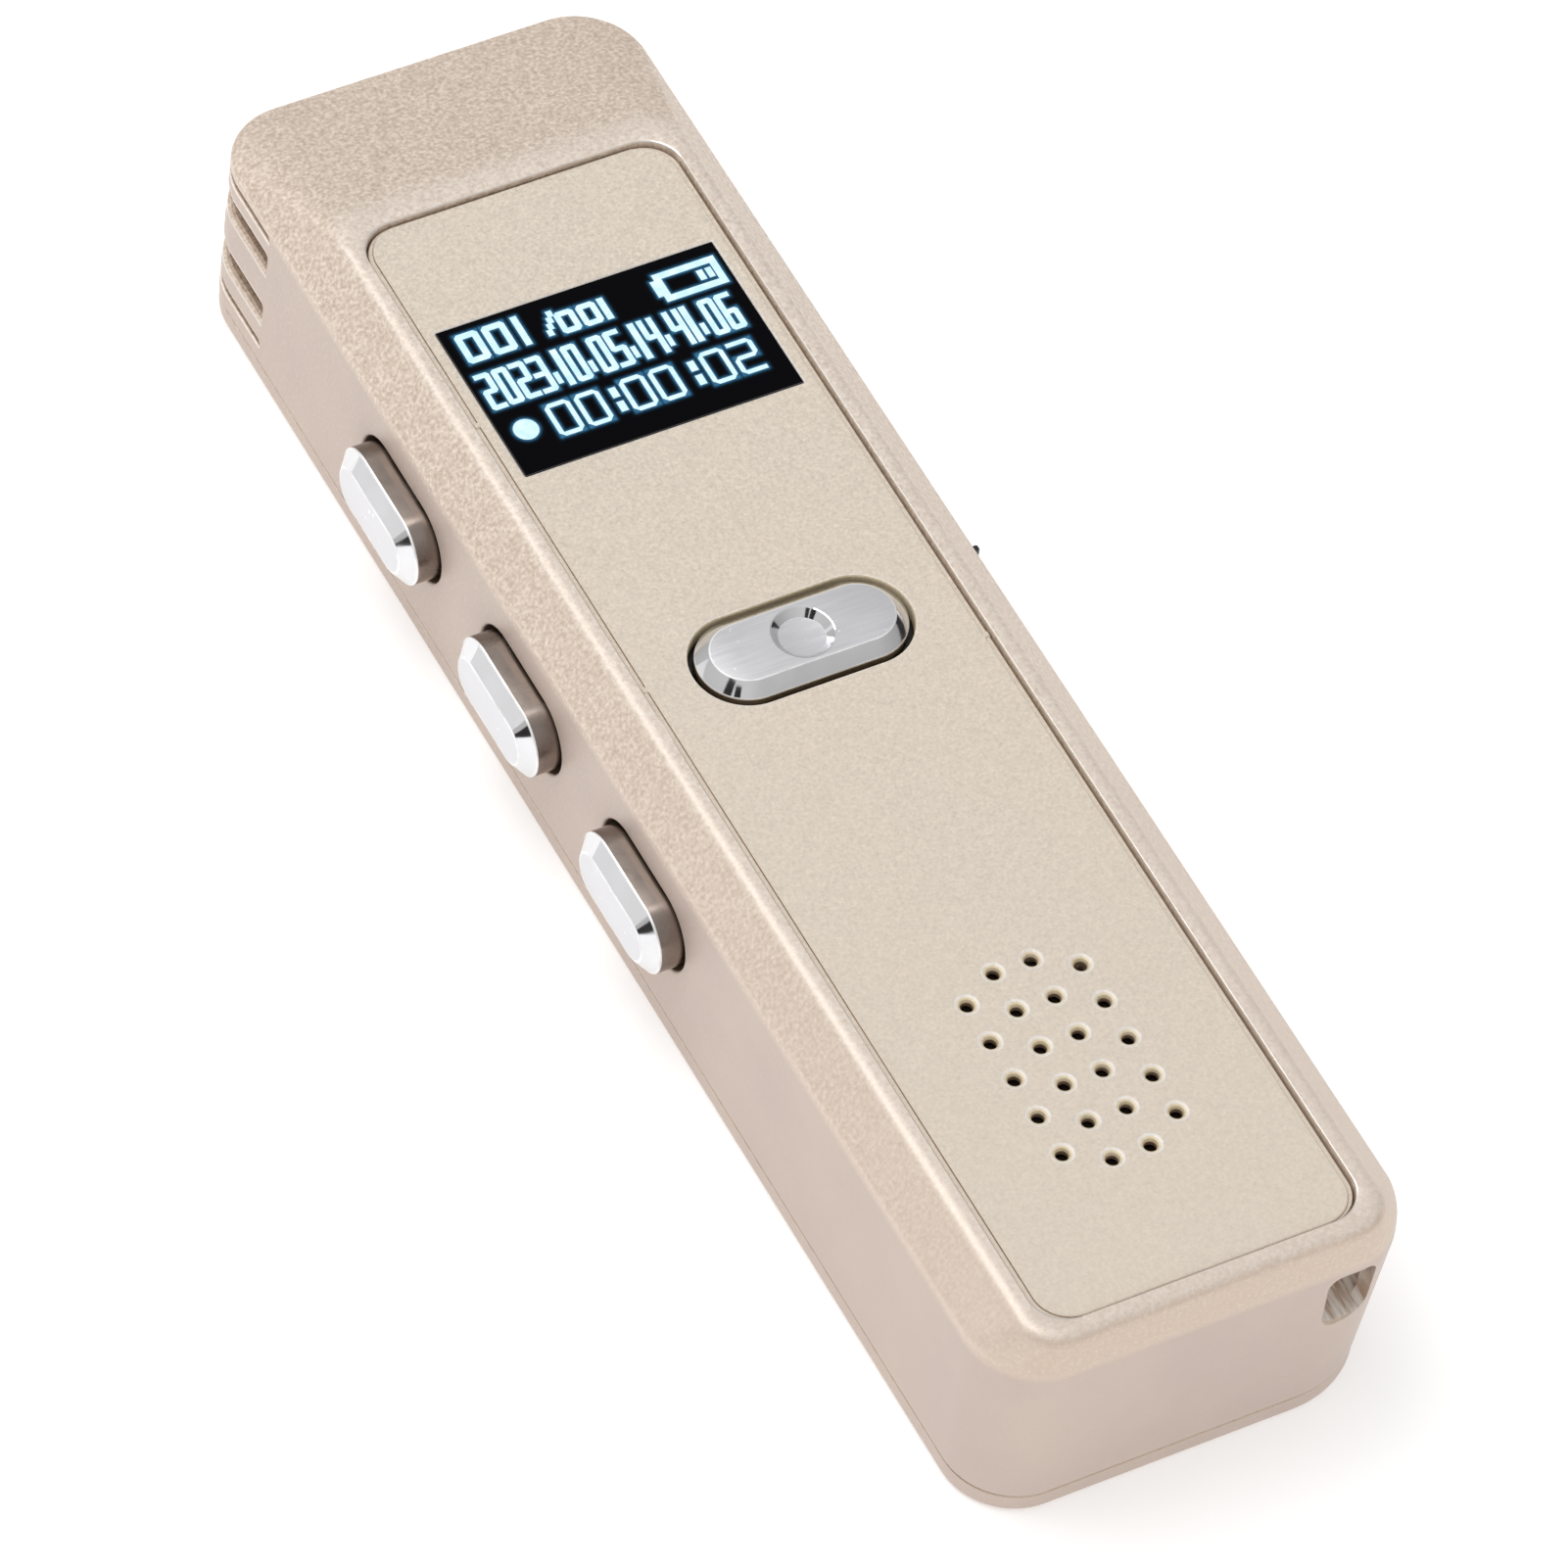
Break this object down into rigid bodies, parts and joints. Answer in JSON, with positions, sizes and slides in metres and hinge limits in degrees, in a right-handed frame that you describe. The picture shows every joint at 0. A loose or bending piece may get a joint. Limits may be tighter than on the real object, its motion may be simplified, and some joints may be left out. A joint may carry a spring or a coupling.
{
  "type": "handheld voice recorder",
  "caption": "Slim metal-cased pocket recorder: lit display, pill-shaped record key, side push buttons, speaker holes, louvred microphones and a strap corner",
  "frame": {"origin": "Centre of the back cover's flat outer face, on the plane that the recorder rests on", "axes": "+Y along the body toward the microphone end, +X across it toward the power switch, +Z out of the front panel"},
  "size_m": [0.0303, 0.1, 0.0165],
  "materials": {
    "champagne_paint": "fine metallic sand, satin",
    "beige_panel": "fine matte grain",
    "display_glass": "polished black",
    "display_module": "dark",
    "polished_steel": "polished edges, satin faces",
    "bright_steel": "plain",
    "black_plastic": "fine texture",
    "pale_plastic": "plain",
    "black_rubber": "soft",
    "green_board": "solder mask",
    "copper_flex": "amber film",
    "chip_black": "moulded",
    "ceramic_parts": "chip parts",
    "battery_foil": "foil pouch",
    "speaker_steel": "pressed"
  },
  "bodies": {
    "case": {"upper_case": "champagne_paint", "back_cover": "champagne_paint", "front_panel": "beige_panel", "display_lens": "display_glass", "display_panel": "display_module", "display_tape": "black_rubber", "display_flex": "copper_flex", "flex_socket": "pale_plastic", "main_board": "green_board", "processor_chip": "chip_black", "memory_chip": "chip_black", "power_chip": "chip_black", "crystal": "bright_steel", "board_parts": "ceramic_parts", "battery": "battery_foil", "battery_board": "green_board", "battery_tape": "pale_plastic", "battery_leads": "black_plastic", "speaker_frame": "speaker_steel", "speaker_magnet": "speaker_steel", "speaker_cone": "black_rubber", "speaker_gasket": "black_rubber", "speaker_mesh": "black_plastic", "mic_left": "bright_steel", "mic_right": "bright_steel", "mic_boot_left": "black_rubber", "mic_boot_right": "black_rubber", "usb_shell": "bright_steel", "usb_tongue": "black_plastic", "jack_body": "black_plastic", "jack_barrel": "bright_steel", "record_switch": "black_plastic", "side_switch_lower": "black_plastic", "side_switch_middle": "black_plastic", "side_switch_upper": "black_plastic", "power_switch": "bright_steel", "strap_plate": "polished_steel", "case_screws": "bright_steel", "board_screws": "bright_steel"},
    "record_button": {"record_button": "polished_steel", "record_stem": "black_rubber"},
    "power_knob": {"power_knob": "black_plastic", "power_lever": "pale_plastic"},
    "side_button_lower": {"side_button_lower": "polished_steel", "side_stem_lower": "black_rubber"},
    "side_button_middle": {"side_button_middle": "polished_steel", "side_stem_middle": "black_rubber"},
    "side_button_upper": {"side_button_upper": "polished_steel", "side_stem_upper": "black_rubber"}
  },
  "joints": [
    {"name": "record_press", "type": "slide", "parent": "case", "child": "record_button", "axis": [0, 0, -1], "range_m": [0, 0.00035], "stiffness_N_per_m": 2500},
    {"name": "side_lower_press", "type": "slide", "parent": "case", "child": "side_button_lower", "axis": [1, 0, 0], "range_m": [0, 0.0004], "stiffness_N_per_m": 2500},
    {"name": "side_middle_press", "type": "slide", "parent": "case", "child": "side_button_middle", "axis": [1, 0, 0], "range_m": [0, 0.0004], "stiffness_N_per_m": 2500},
    {"name": "side_upper_press", "type": "slide", "parent": "case", "child": "side_button_upper", "axis": [1, 0, 0], "range_m": [0, 0.0004], "stiffness_N_per_m": 2500},
    {"name": "power_slide", "type": "slide", "parent": "case", "child": "power_knob", "axis": [0, 1, 0], "range_m": [0, 0.002]}
  ]
}
